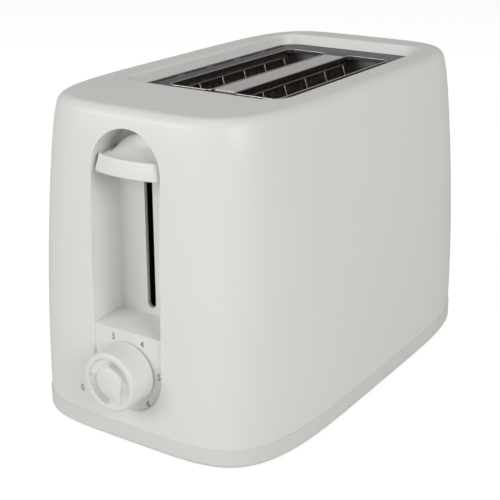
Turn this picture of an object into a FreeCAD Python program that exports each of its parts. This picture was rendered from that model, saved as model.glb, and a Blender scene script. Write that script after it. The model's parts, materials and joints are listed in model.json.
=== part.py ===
import FreeCAD, Part
import math
import os

# Two slice pop up toaster, in millimetres.
# +Z is up, +Y runs to the rear (cord and crumb tray end), -Y is the end with the lever and the dial.
# Every piece is modelled about the middle of the body, on the surface that the feet stand on, and is
# then moved back a little, so that the origin is under the middle of the whole, dial knob included.

# ---- driving dimensions ----------------------------------------------------------------------
body_width = 166.9
body_length = 281.2
body_height = 185.0
foot_proud = 2.0
base_height = 11.1
wall = 2.4
sheet = 1.0                    # folded steel of the chassis
running_gap = 0.05             # radial clearance of a rod in its hole
part_gap = 0.4                 # clearance between pieces that pass each other

# outline of the body: a superellipse that draws in towards the top
outline_power_bottom = 4.8
outline_power_top = 4.6
outline_points = 96
width_taper = 0.15
length_taper = 0.06
shoulder_height = 28.3         # last stretch of the sides, which curves in
shoulder_depth = 2.2
top_edge_radius = 6.5
skirt_proud = 0.5
skirt_bottom_radius = 2.5
tongue_thickness = 1.4         # lip of the base that stands up inside the shell

# mouth in the top and the metal plate under it
mouth_half_width = 52.7
mouth_half_length = 91.0
mouth_rearward = 17.1
mouth_corner_radius = 14.0
mouth_depth = 6.6
mouth_draw_in = 1.2
mouth_edge_radius = 1.8
plate_margin = 3.4
plate_thickness = 0.8
vent_length = 23.5
vent_width = 1.6
vent_pitch = 30.3
vent_count = 5
vent_rearward = 24.5
vent_inset = 2.8               # from the foot of the mouth

# bread slots
slot_width = 28.4
slot_length = 134.0
divider_half_width = 8.2
slot_rearward = 17.9
slot_corner_radius = 4.0
lip_height = 0.8
lip_drop = 0.6                 # the slot edges are turned down this far under the plate
lip_thickness = 0.9
lip_roll = 0.4                 # rounding of the lip and of the divider bar

# recess for the lever and panel for the dial
recess_half_width = 22.5
recess_depth = 23.0
recess_wall = 2.2
recess_edge_radius = 1.0
recess_inner_radius = 3.0
recess_top_margin = 9.5        # from the top of the arch over the lever to the top of the body
recess_floor_drop = 2.2        # the floor falls this much towards the front
lever_slot_width = 5.5
lever_slot_room = 6.0          # of the slot under the arm when the lever is down
dial_height = 44.9
panel_inset = 1.1
dial_base_radius = 17.1
dial_face_radius = 16.0
dial_depth = 16.3
dial_rim_width = 2.6
dial_groove_depth = 1.0
dial_centre_radius = 8.0
dial_crown = 0.7               # height of the domed centre
dial_shaft_radius = 3.0

# carriage, lever and guides
lever_travel = 74.0
lever_under_arch = 2.0         # from the arch centre down to the lever's under side
lever_floor_gap = 8.6          # from the lever at its lowest to the recess floor
lever_lip_height = 9.0
lever_bow = 6.5
lever_dome_radius = 18.0
lever_clearance = 0.8          # between the lever and the recess
arm_thickness = 2.0
arm_height = 6.0
seat_height = 114.0            # bread seat at rest
rack_depth = 7.0
rack_width = 8.0
rack_blade = 1.2
rack_rungs = 11
rod_radius = 2.5
rod_x = -14.0
spring_x = 14.0
mechanism_y = -73.0            # guide rod and lift spring stand on this line
spring_radius = 3.6
spring_wire = 0.5
spring_turns = 15
guide_wire = 0.8
guide_rod_radius = 1.0
guide_pivot_height = 28.0
guide_top_gap = 2.6            # from the guide's top wire to the plate
guide_flare = 2.5              # the top of a guide bends away from the slot by this
guide_flare_height = 8.0
guide_wires = 6
guide_clearance = 1.7          # from the slot's edge to the guide wires

# heating elements
card_thickness = 0.8
card_bottom = 36.0
card_top_gap = 1.9             # under the plate
card_clearance = 3.5           # from the slot's edge to an outer card
ribbon_width = 1.6
ribbon_thickness = 0.3
ribbon_turns = 11
ribbon_margin = 4.0            # from the card's ends to the first and last turn

# board, magnet and fixings
board_thickness = 1.6
board_half_width = 32.0
board_bottom = 20.0
board_top = 64.0
board_y = -112.0               # rear face
pot_half = 8.0
pot_depth = 8.0
magnet_y = -88.0
magnet_half_width = 12.0
magnet_depth = 8.0
magnet_bottom = 18.0
magnet_top = 36.0
keeper_thickness = 2.6
keeper_gap = 0.4
screw_radius = 1.5
screw_head_radius = 2.9
screw_head_height = 1.8
foot_radius = 7.0
foot_seat = 1.2
base_floor = 2.2
tray_half_width = 43.0
tray_wall = 0.8
tray_depth = 7.0
terminal_half = 5.0
terminal_gap = 2.1             # to the guide rod that ends beside it
cord_hole_radius = 5.0
cord_hole_x = -36.0
cord_hole_height = 30.0

# ---- values that follow from them ------------------------------------------------------------
body_bottom = foot_proud
body_top = foot_proud + body_height
recess_arch_height = body_top - recess_top_margin - recess_half_width
lever_bottom = recess_arch_height - lever_under_arch
recess_floor_height = lever_bottom - lever_travel - lever_floor_gap
seam = body_bottom + base_height
floor_top = body_bottom + base_floor
plate_top = body_top - mouth_depth - 0.2
plate_under = plate_top - plate_thickness
lip_top = plate_top + lip_height
guide_top_height = plate_under - guide_top_gap - guide_wire
card_top = plate_under - card_top_gap
slot_centre_x = divider_half_width + slot_width / 2
slot_outer_x = divider_half_width + slot_width
slot_front = slot_rearward - slot_length / 2
slot_rear = slot_rearward + slot_length / 2
front_plate_y = slot_front - 5.0           # the face that looks into the chamber
rear_plate_y = slot_rear + 5.0
chassis_half_width = slot_outer_x + 12.0
pillar_top = seam + 0.4
pillar_x = chassis_half_width + 1.0
pillar_radius = 4.5
shield_x = chassis_half_width - 3.0
tray_bottom = floor_top + 0.4
tray_top = tray_bottom + tray_depth
outer_card_x = slot_outer_x + card_clearance
guide_outer_x = slot_outer_x - guide_clearance
guide_inner_x = divider_half_width + guide_clearance
lever_lip_top = lever_bottom + lever_lip_height
arm_bottom = lever_bottom + 1.0
lever_slot_bottom = arm_bottom - lever_travel - lever_slot_room
terminal_x = guide_outer_x + guide_rod_radius + terminal_gap + terminal_half
carriage_y = front_plate_y - 9.0           # front face of the carriage plate
keeper_bottom = magnet_top + keeper_gap + lever_travel
stay_bottom = arm_bottom + arm_height + 6.0


# ---- small helpers ---------------------------------------------------------------------------
def vec(x, y, z):
    return FreeCAD.Vector(x, y, z)


def box(x0, x1, y0, y1, z0, z1):
    return Part.makeBox(x1 - x0, y1 - y0, z1 - z0, vec(x0, y0, z0))


def rod(start, end, radius):
    run = end.sub(start)
    return Part.makeCylinder(radius, run.Length, start, run)


def fuse(shapes):
    joined = shapes[0]
    if len(shapes) > 1:
        joined = shapes[0].fuse(shapes[1:])
    return joined.removeSplitter()


def mirrored(shape):
    return shape.mirror(vec(0, 0, 0), vec(1, 0, 0))


def write(name, shape):
    shape.translate(vec(0, shift_of_whole(), 0))
    if not shape.isValid():
        print("not valid:", name)
    shape.exportStep(os.path.join("parts", name + ".step"))
    print(name, len(shape.Solids), round(shape.Volume, 1))


# ---- outline of the body ---------------------------------------------------------------------
def share_of_height(z):
    return (z - body_bottom) / body_height


def inward(z):
    """How far the curved shoulder has drawn in at height z."""
    up = (z - (body_top - shoulder_height)) / shoulder_height
    if up <= 0:
        return 0.0
    return shoulder_depth * (1 - math.sqrt(max(0.0, 1 - up * up * 0.98)))


def half_width(z):
    rise = max(0.0, share_of_height(z) - 0.06)
    return body_width / 2 * (1 - width_taper * rise * rise) - inward(z)


def half_length(z):
    rise = max(0.0, share_of_height(z) - 0.06)
    return body_length / 2 * (1 - length_taper * rise * rise) - inward(z)


def shift_of_whole():
    """Half of what the dial knob stands out in front of the body."""
    front = panel_y() - dial_depth - dial_crown
    rear = half_length(body_bottom) + skirt_proud
    return -(front + rear) / 2


def outline(z, offset):
    """The closed curve round the body at height z, moved outwards by offset."""
    share = min(1.0, max(0.0, share_of_height(z)))
    power = outline_power_bottom + (outline_power_top - outline_power_bottom) * share
    a = half_width(z) + offset
    b = half_length(z) + offset
    points = []
    for i in range(outline_points):
        turn = 2 * math.pi * (i + 0.5) / outline_points
        across = abs(math.cos(turn) / a) ** power
        along = abs(math.sin(turn) / b) ** power
        reach = (across + along) ** (-1 / power)
        points.append(vec(reach * math.cos(turn), reach * math.sin(turn), z))
    curve = Part.BSplineCurve()
    curve.interpolate(Points=points, PeriodicFlag=True)
    return Part.Wire([curve.toShape()])


def body_between(z0, z1, offset, steps):
    """The solid body between two heights, moved outwards by offset."""
    wires = [outline(z0 + (z1 - z0) * i / steps, offset) for i in range(steps + 1)]
    return Part.makeLoft(wires, True, False)


def rounded_rectangle(half_x, half_y, centre_y, radius, z):
    """A closed wire with four straight sides and four corner arcs."""
    edges = []
    corners = ((1, 1, 0), (-1, 1, 90), (-1, -1, 180), (1, -1, 270))
    ends = []
    for sx, sy, start in corners:
        centre = vec(sx * (half_x - radius), centre_y + sy * (half_y - radius), z)
        arc = Part.ArcOfCircle(Part.Circle(centre, vec(0, 0, 1), radius),
                               math.radians(start), math.radians(start + 90))
        edges.append(arc.toShape())
        ends.append((arc.StartPoint, arc.EndPoint))
    for i in range(4):
        edges.append(Part.makeLine(ends[i][1], ends[(i + 1) % 4][0]))
    return Part.Wire(Part.__sortEdges__(edges))


def block_with_corners(half_x, half_y, centre_y, radius, z0, z1):
    wire = rounded_rectangle(half_x, half_y, centre_y, radius, z0)
    return Part.Face(wire).extrude(vec(0, 0, z1 - z0))


# ---- outer shell -----------------------------------------------------------------------------
def mouth(offset, z_low, z_high):
    """The funnel of the mouth: it narrows a little on its way down to the plate."""
    wires = []
    for z in (z_low, z_high):
        depth = (body_top - z) / mouth_depth
        narrower = mouth_draw_in * depth - offset
        wires.append(rounded_rectangle(mouth_half_width - narrower, mouth_half_length - narrower,
                                       mouth_rearward, mouth_corner_radius + offset, z))
    return Part.makeLoft(wires, True, True)


def arch(half, z_low, y0, y1):
    """A prism along Y: straight sides up to the arch height, then a half circle."""
    upright = box(-half, half, y0, y1, z_low, recess_arch_height)
    crown = rod(vec(0, y0, recess_arch_height), vec(0, y1, recess_arch_height), half)
    return fuse([upright, crown])


def front_outline(half, y0, y1):
    """The outline of recess and dial panel together: an arch on top, a half circle round the dial."""
    foot = rod(vec(0, y0, dial_height), vec(0, y1, dial_height), half)
    return fuse([arch(half, dial_height, y0, y1), foot])


def front_y(z):
    return -half_length(z)


def recess_back():
    return front_y(recess_floor_height) + recess_depth


def panel_y():
    return front_y(recess_floor_height) + panel_inset


def recess_void():
    """The hollow that the lever runs in, with a floor that slopes down to the front."""
    back = recess_back()
    front = panel_y()
    hollow = arch(recess_half_width, recess_floor_height - recess_floor_drop, front - 1, back)
    hollow = hollow.makeFillet(recess_inner_radius, edges_at(hollow, lambda p: p.y > back - 0.01))
    slope = Part.makePolygon([
        vec(-body_width, back + 1, recess_floor_height),
        vec(-body_width, front, recess_floor_height - recess_floor_drop),
        vec(-body_width, front, 0),
        vec(-body_width, back + 1, 0),
        vec(-body_width, back + 1, recess_floor_height)])
    below = Part.Face(slope).extrude(vec(2 * body_width, 0, 0))
    return hollow.cut(below)


def corner_posts():
    """Places of the four posts that take the screws from the base."""
    return [(sx * body_width * 0.37, sy * body_length * 0.415) for sx in (-1, 1) for sy in (-1, 1)]


def board_posts():
    reach = board_half_width - 5.0
    return [(sx * reach, z) for sx in (-1, 1) for z in (board_bottom + 5.0, board_top - 5.0)]


def edges_at(shape, test):
    """The edges whose sample points all pass the test."""
    found = []
    for edge in shape.Edges:
        step = (edge.LastParameter - edge.FirstParameter) / 4
        if all(test(edge.valueAt(edge.FirstParameter + step * i)) for i in range(5)):
            found.append(edge)
    return found


def shell_additions():
    """What is moulded onto the inside of the wall."""
    front = front_y(body_bottom)
    additions = [arch(recess_half_width + recess_wall, recess_floor_height - recess_floor_drop - recess_wall,
                      front, recess_back() + recess_wall),
                 front_outline(recess_half_width + recess_wall, front, panel_y() + wall)]
    for x, y in corner_posts():
        additions.append(rod(vec(x, y, seam + 2.0), vec(x, y, seam + 26), 4.0))
        side = math.copysign(half_width(seam) - 1.0, x)
        additions.append(box(min(x, side), max(x, side), y - 1, y + 1, seam + 5, seam + 26))
    for x, z in board_posts():
        additions.append(rod(vec(x, front, z), vec(x, board_y - board_thickness, z), 3.2))
    return additions


def shell_voids():
    """Holes and hollows, but for the recess itself."""
    back = recess_back()
    slot_low = lever_slot_bottom + lever_slot_width / 2
    hole_y = half_length(cord_hole_height)
    voids = [box(-lever_slot_width / 2, lever_slot_width / 2, back - 1, back + recess_wall + 1,
                 slot_low, arm_bottom + arm_height + 2),
             rod(vec(0, back - 1, slot_low), vec(0, back + recess_wall + 1, slot_low), lever_slot_width / 2),
             rod(vec(0, panel_y() - 1, dial_height), vec(0, panel_y() + wall + 1, dial_height),
                 dial_shaft_radius + part_gap),
             rod(vec(cord_hole_x, hole_y - 10, cord_hole_height),
                 vec(cord_hole_x, hole_y + 10, cord_hole_height), cord_hole_radius)]
    for x, y in corner_posts():
        voids.append(rod(vec(x, y, seam), vec(x, y, seam + 18), screw_radius + running_gap))
    for x, z in board_posts():
        voids.append(rod(vec(x, board_y - board_thickness - 8, z), vec(x, board_y, z),
                         screw_radius + running_gap))
    return voids


def outer_shell():
    outer = body_between(seam, body_top, 0, 9)
    outer = outer.makeFillet(top_edge_radius, edges_at(outer, lambda p: p.z > body_top - 0.1))
    inner = body_between(seam - 1, body_top - wall, -wall, 9)
    core = body_between(seam, body_top - wall / 2, -wall / 2, 9)
    funnel = mouth(wall, plate_top + 0.2, body_top - wall / 2)
    shell = outer.cut(inner).fuse(funnel)
    shell = shell.cut(mouth(0, plate_top - 5, body_top + 5))
    shell = shell.makeFillet(mouth_edge_radius, edges_at(
        shell, lambda p: p.z > body_top - 0.1 and abs(p.x) < mouth_half_width + 1
        and abs(p.y - mouth_rearward) < mouth_half_length + 1))
    shell = shell.fuse([piece.common(core) for piece in shell_additions()] + [cord_collar()])

    shell = shell.cut(front_outline(recess_half_width, front_y(body_bottom) - 5, panel_y()))
    half = recess_half_width + 0.1
    shell = shell.makeFillet(recess_edge_radius, edges_at(
        shell, lambda p: p.y < front_y(p.z) + 0.3 and abs(p.x) < half))
    shell = shell.cut(recess_void())
    return shell.cut(shell_voids())


def cord_collar():
    hole_y = half_length(cord_hole_height)
    return rod(vec(cord_hole_x, hole_y - 6, cord_hole_height),
               vec(cord_hole_x, hole_y + 1, cord_hole_height), cord_hole_radius + 3)


# ---- base ------------------------------------------------------------------------------------
def skirt_solid():
    solid = body_between(body_bottom, seam, skirt_proud, 3)
    low = [e for e in solid.Edges if e.BoundBox.ZMax < body_bottom + 0.5]
    return solid.makeFillet(skirt_bottom_radius, low)


def foot_places():
    return [(sx * body_width * 0.35, sy * body_length * 0.34) for sx in (-1, 1) for sy in (-1, 1)]


def pillar_places():
    front = front_plate_y - 7.0
    rear = rear_plate_y + 7.0
    return [(sx * pillar_x, y) for sx in (-1, 1) for y in (front, rear)]


def magnet_bosses():
    return [(-magnet_half_width - 6.0, magnet_y), (magnet_half_width + 6.0, magnet_y)]


def tray_opening():
    reach = tray_half_width + 2.0
    return box(-reach, reach, body_length / 2 - 12, body_length / 2 + 5, floor_top, seam + 1)


def floor_vents():
    """Rows of slots in the floor, in front of the crumb tray and along its sides."""
    vents = []
    for row in range(3):
        y = front_plate_y - 22.0 - 16.0 * row
        if abs(y - magnet_y) < 9.0:
            continue
        for i in range(-4, 5):
            vents.append(box(i * 10 - 1.5, i * 10 + 1.5, y - 5, y + 5, body_bottom - 1, floor_top + 1))
    for sx in (-1, 1):
        for i in range(7):
            y = slot_front + 10 + 18 * i
            x = sx * (tray_half_width + 14)
            if all(math.hypot(x - px, y - py) > foot_radius + 8 for px, py in foot_places()):
                vents.append(box(x - 4, x + 4, y - 1.5, y + 1.5, body_bottom - 1, floor_top + 1))
    return vents


def base():
    solid = skirt_solid()
    hollow = body_between(floor_top, seam + 1, -wall, 2)
    tongue = body_between(seam - 3, seam + 3, -wall - part_gap, 2)
    tongue_root = body_between(seam - 3, seam, -wall + 0.3, 2)
    tongue_inside = body_between(seam - 4, seam + 4, -wall - part_gap - tongue_thickness, 2)
    shell = solid.cut(hollow).fuse(tongue.fuse(tongue_root).cut(tongue_inside))

    # the recess housing and the posts of the shell come down inside the tongue
    panel_room = box(-recess_half_width - 8, recess_half_width + 8, front_y(seam) - 5, panel_y() + 8,
                     seam, seam + 5)
    additions = []
    for x, y in pillar_places():
        additions.append(rod(vec(x, y, body_bottom + 0.5), vec(x, y, pillar_top), pillar_radius))
    for x, y in corner_posts():
        additions.append(rod(vec(x, y, body_bottom + 0.5), vec(x, y, seam + 1.6), 5.0))
    for x, y in magnet_bosses():
        additions.append(rod(vec(x, y, body_bottom + 0.5), vec(x, y, magnet_bottom - sheet), 4.0))
    additions.append(rod(vec(rod_x, mechanism_y, body_bottom + 0.5), vec(rod_x, mechanism_y, 14), 5.0))
    for sx in (-1, 1):
        x = sx * (tray_half_width + part_gap + 0.7)
        additions.append(box(x - 0.7, x + 0.7, front_plate_y + 2, body_length / 2 - 12,
                             body_bottom + 0.5, tray_top - 1))
    shell = shell.fuse(additions)

    voids = [tray_opening(), panel_room] + floor_vents()
    for x, y in pillar_places():
        voids.append(rod(vec(x, y, pillar_top - 8), vec(x, y, pillar_top + 1), screw_radius + running_gap))
    for x, y in corner_posts():
        voids.append(rod(vec(x, y, 0), vec(x, y, seam + 5), screw_radius + part_gap))
        voids.append(rod(vec(x, y, 0), vec(x, y, body_bottom + 3.5), screw_head_radius + part_gap))
    for x, y in magnet_bosses():
        voids.append(rod(vec(x, y, magnet_bottom - sheet - 8), vec(x, y, magnet_bottom + 1),
                         screw_radius + running_gap))
    voids.append(rod(vec(rod_x, mechanism_y, floor_top + 1.0), vec(rod_x, mechanism_y, 20),
                     rod_radius + running_gap))
    for x, y in foot_places():
        voids.append(rod(vec(x, y, 0), vec(x, y, body_bottom + foot_seat), foot_radius))
    return shell.cut(voids[0].fuse(voids[1:]))


def rubber_feet():
    feet = []
    for x, y in foot_places():
        foot = rod(vec(x, y, 0), vec(x, y, body_bottom + foot_seat), foot_radius)
        bottom = [e for e in foot.Edges if e.BoundBox.ZMax < 0.1]
        feet.append(foot.makeFillet(0.8, bottom))
    return Part.makeCompound(feet)


def screw(x, y, z_head, length, up):
    """A pan head screw whose head sits at z_head and whose shank runs up (1) or down (-1)."""
    shank = rod(vec(x, y, z_head), vec(x, y, z_head + up * length), screw_radius)
    head = rod(vec(x, y, z_head), vec(x, y, z_head - up * screw_head_height), screw_head_radius)
    low, high = sorted((z_head - up * screw_head_height * 0.4, z_head - up * (screw_head_height + 1)))
    cross = box(x - 0.4, x + 0.4, y - 1.6, y + 1.6, low, high)
    cross = cross.fuse(box(x - 1.6, x + 1.6, y - 0.4, y + 0.4, low, high))
    return shank.fuse(head).cut(cross)


def base_screws():
    seat = body_bottom + 3.5
    return Part.makeCompound([screw(x, y, seat, seam + 14 - seat, 1) for x, y in corner_posts()])


def chassis_screws():
    return Part.makeCompound([screw(x, y, pillar_top + sheet, 7.0, -1) for x, y in pillar_places()])


def magnet_screws():
    return Part.makeCompound([screw(x, y, magnet_bottom, 7.0, -1) for x, y in magnet_bosses()])


def board_screws():
    screws = []
    for x, z in board_posts():
        shank = rod(vec(x, board_y, z), vec(x, board_y - 8, z), screw_radius)
        head = rod(vec(x, board_y, z), vec(x, board_y + screw_head_height, z), screw_head_radius)
        screws.append(shank.fuse(head))
    return Part.makeCompound(screws)


# ---- top plate -------------------------------------------------------------------------------
def slot_block(side, grow, z0, z1):
    block = block_with_corners(slot_width / 2 + grow, slot_length / 2 + grow, slot_rearward,
                               slot_corner_radius + grow, z0, z1)
    block.translate(vec(side * slot_centre_x, 0, 0))
    return block


def vent_places():
    """Centres of the vent slits in the plate, along both long sides."""
    x = mouth_half_width - mouth_draw_in - vent_inset
    first = vent_rearward - vent_pitch * (vent_count - 1) / 2
    return [(sx * x, first + vent_pitch * i) for sx in (-1, 1) for i in range(vent_count)]


def top_plate():
    """Sheet with two slots, whose edges stand up a little as a rolled lip and are turned down inside."""
    margin = plate_margin - mouth_draw_in
    plate = block_with_corners(mouth_half_width + margin, mouth_half_length + margin, mouth_rearward,
                               mouth_corner_radius + margin, plate_under, plate_top)
    lips = []
    for side in (-1, 1):
        lip = slot_block(side, lip_thickness, plate_under - lip_drop, lip_top)
        lips.append(lip.makeFillet(lip_roll, edges_at(lip, lambda p: p.z > lip_top - 0.01)))
    plate = plate.fuse(lips)
    holes = [slot_block(side, 0, plate_under - 5, plate_top + 20) for side in (-1, 1)]
    for x, y in vent_places():
        holes.append(box(x - vent_width / 2, x + vent_width / 2, y - vent_length / 2, y + vent_length / 2,
                         plate_under - 5, plate_top + 5))
    return plate.cut(holes)


def slot_divider():
    """The steel bar that covers the strip of plate between the two slots, flush with their lips."""
    half = divider_half_width - lip_thickness - running_gap
    reach = slot_length / 2 - slot_corner_radius
    bar = box(-half, half, slot_rearward - reach, slot_rearward + reach, plate_top, lip_top)
    return bar.makeFillet(lip_roll, edges_at(bar, lambda p: p.z > lip_top - 0.01))


# ---- chassis ---------------------------------------------------------------------------------
def rack_slots(y0, y1):
    """Upright slots that the racks' tongues slide in."""
    half = rack_blade / 2 + 1.2
    low = seat_height - lever_travel - rack_depth - 3
    high = seat_height + 3
    return [box(s * slot_centre_x - half, s * slot_centre_x + half, y0 - 1, y1 + 1, low, high)
            for s in (-1, 1)]


def guide_axes():
    """X of the four guide pivots, with the side each guide leans to."""
    return [(-guide_outer_x, 1), (-guide_inner_x, -1), (guide_inner_x, 1), (guide_outer_x, -1)]


def end_plate(inner_face, outward):
    """A chassis end: a flat plate with ears that are screwed to the base."""
    y0, y1 = sorted((inner_face, inner_face + outward * sheet))
    plate = box(-chassis_half_width, chassis_half_width, y0, y1, pillar_top, plate_under)
    ears = []
    for x, y in pillar_places():
        if (y - inner_face) * outward > 0:
            e0, e1 = sorted((inner_face, y + outward * 5))
            ears.append(box(x - 5, x + 5, e0, e1, pillar_top, pillar_top + sheet))
    plate = plate.fuse(ears)
    holes = rack_slots(y0, y1)
    for x, _ in guide_axes():
        holes.append(rod(vec(x, y0 - 1, guide_pivot_height), vec(x, y1 + 1, guide_pivot_height),
                         guide_rod_radius + running_gap))
    for x, y in pillar_places():
        holes.append(rod(vec(x, y, pillar_top - 1), vec(x, y, pillar_top + sheet + 1),
                         screw_radius + part_gap / 2))
    for x in (-outer_card_x, 0, outer_card_x):
        centre = x + math.copysign(card_thickness / 2, x) if x else 0
        for z in (card_bottom + 20, card_top - 20):
            holes.append(box(centre - card_thickness / 2 - 0.1, centre + card_thickness / 2 + 0.1,
                             y0 - 1, y1 + 1, z - 6.1, z + 6.1))
    # air holes let the chamber breathe
    for x in (-slot_centre_x, slot_centre_x):
        for dx in (-7, 7):
            for z in (145, 155):
                holes.append(rod(vec(x + dx, y0 - 1, z), vec(x + dx, y1 + 1, z), 2.5))
    return plate.cut(holes[0].fuse(holes[1:]))


def heat_shield(side):
    """The reflector beside an outer element: sheet with a fold at its top and bottom."""
    y0, y1 = front_plate_y, rear_plate_y
    web = box(shield_x, shield_x + plate_thickness, y0, y1, pillar_top + 4, plate_under)
    fold_low = box(outer_card_x - 1, shield_x, y0, y1, pillar_top + 4, pillar_top + 4 + plate_thickness)
    fold_high = box(outer_card_x + 2, shield_x, y0, y1, plate_under - plate_thickness, plate_under)
    shield = fuse([web, fold_low, fold_high])
    return shield if side > 0 else mirrored(shield)


def mica_card(x_low):
    """A heater card: a thin board with tabs that pass into the end plates."""
    card = box(x_low, x_low + card_thickness, front_plate_y + 0.2, rear_plate_y - 0.2, card_bottom, card_top)
    tabs = []
    for z in (card_bottom + 20, card_top - 20):
        tabs.append(box(x_low, x_low + card_thickness, front_plate_y - 2.5, rear_plate_y + 2.5, z - 6, z + 6))
    return fuse([card] + tabs)


def heating_element(x_low):
    """Resistance ribbon wound round a card, one turn above another."""
    turns = []
    first = card_bottom + ribbon_margin
    pitch = (card_top - card_bottom - 2 * ribbon_margin - ribbon_width) / (ribbon_turns - 1)
    y0 = front_plate_y + 4
    y1 = rear_plate_y - 4
    for i in range(ribbon_turns):
        z = first + pitch * i
        turns.append(box(x_low - ribbon_thickness, x_low, y0, y1, z, z + ribbon_width))
        turns.append(box(x_low + card_thickness, x_low + card_thickness + ribbon_thickness,
                         y0, y1, z, z + ribbon_width))
    return Part.makeCompound(turns)


# ---- bread guides and racks ------------------------------------------------------------------
def bread_guide(x, lean):
    """A wire grille that pivots on its lowest rod, with its top bent away from the bread."""
    y0 = slot_front + 4
    y1 = slot_rear - 4
    top_x = x - lean * guide_flare
    bend_height = guide_top_height - guide_flare_height
    pivot = rod(vec(x, front_plate_y - sheet - 3, guide_pivot_height),
                vec(x, rear_plate_y + sheet + 3, guide_pivot_height), guide_rod_radius)
    top = rod(vec(top_x, y0, guide_top_height), vec(top_x, y1, guide_top_height), guide_wire)
    wires = []
    for i in range(guide_wires):
        y = y0 + 3 + (y1 - y0 - 6) * i / (guide_wires - 1)
        wires.append(rod(vec(x, y, guide_pivot_height), vec(x, y, bend_height), guide_wire))
        wires.append(Part.makeSphere(guide_wire, vec(x, y, bend_height)))
        wires.append(rod(vec(x, y, bend_height), vec(top_x, y, guide_top_height), guide_wire))
    return pivot.fuse([top] + wires)


def bread_rack(side):
    """The strip that carries a slice: an upright blade with rungs across its top."""
    x = side * slot_centre_x
    low = seat_height - rack_depth
    blade = box(x - rack_blade / 2, x + rack_blade / 2, carriage_y, rear_plate_y + sheet + 2, low, seat_height)
    rungs = []
    y0 = slot_front + 6
    pitch = (slot_length - 12) / (rack_rungs - 1)
    for i in range(rack_rungs):
        y = y0 + pitch * i
        rungs.append(box(x - rack_width / 2, x + rack_width / 2, y - 1.5, y + 1.5,
                         seat_height - sheet, seat_height))
        for e in (-1, 1):
            edge = x + e * (rack_width / 2 - sheet / 2)
            rungs.append(box(edge - sheet / 2, edge + sheet / 2, y - 1.5, y + 1.5,
                             seat_height - sheet, seat_height + 2))
    return blade.fuse(rungs)


def carriage_bracket():
    """The lifting carriage: it joins both racks, the bush on the guide rod and the lever's arm."""
    low = seat_height - rack_depth
    plate_y = carriage_y - sheet
    reach = slot_centre_x + 5
    cross = box(-reach, reach, plate_y, carriage_y, low, seat_height)
    upright = box(-9, 9, plate_y, carriage_y, low, arm_bottom + arm_height)
    arm = box(-arm_thickness / 2, arm_thickness / 2, recess_back() - 6.5, carriage_y,
              arm_bottom, arm_bottom + arm_height)
    shelf_top = keeper_bottom + keeper_thickness + sheet
    shelf = box(-magnet_half_width, magnet_half_width, magnet_y - magnet_depth / 2, carriage_y,
                shelf_top - sheet, shelf_top)
    shelf = shelf.cut(rod(vec(rod_x, mechanism_y, low - 1), vec(rod_x, mechanism_y, shelf_top + 1), 5.0))
    bush = rod(vec(rod_x, mechanism_y, low), vec(rod_x, mechanism_y, low + 18), 4.6)
    bush_web = box(rod_x - 3, rod_x + 3, mechanism_y, carriage_y, low, low + 18)
    spring_tab = box(spring_x - 4, spring_x + 4, mechanism_y - 5, carriage_y, seat_height, seat_height + sheet)
    carriage = fuse([cross, upright, arm, shelf, bush, bush_web, spring_tab,
                     box(spring_x - 4, spring_x + 4, plate_y, carriage_y, low, seat_height + sheet)])
    bore = rod(vec(rod_x, mechanism_y, low - 1), vec(rod_x, mechanism_y, low + 30), rod_radius + running_gap)
    return carriage.cut(bore)


def latch_keeper():
    return box(-magnet_half_width, magnet_half_width, magnet_y - magnet_depth / 2, magnet_y + magnet_depth / 2,
               keeper_bottom, keeper_bottom + keeper_thickness)


def guide_rod():
    return rod(vec(rod_x, mechanism_y, floor_top + 1.2), vec(rod_x, mechanism_y, stay_bottom + sheet + 3),
               rod_radius)


def mechanism_stay():
    """The bracket on the front chassis end that holds the top of the guide rod and of the spring."""
    back = front_plate_y - sheet
    web = box(-26, 26, back - sheet, back, stay_bottom - 14, stay_bottom + sheet)
    web = web.cut(box(-11, 11, back - 2 * sheet, back + sheet, stay_bottom - 20, stay_bottom - 3))
    shelf = box(-26, 26, mechanism_y - 7, back, stay_bottom, stay_bottom + sheet)
    stay = fuse([web, shelf])
    return stay.cut(rod(vec(rod_x, mechanism_y, stay_bottom - 1), vec(rod_x, mechanism_y, stay_bottom + 5),
                        rod_radius + running_gap))


def lift_spring():
    low = seat_height + sheet + 0.2
    high = stay_bottom - 0.2
    height = high - low - 2 * spring_wire
    helix = Part.makeHelix(height / spring_turns, height, spring_radius)
    circle = Part.Circle(vec(spring_radius, 0, 0), vec(0, 1, 0), spring_wire)
    pipe = Part.Wire(helix).makePipeShell([Part.Wire(circle.toShape())], True, True)
    pipe.translate(vec(spring_x, mechanism_y, low + spring_wire))
    return pipe


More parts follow.
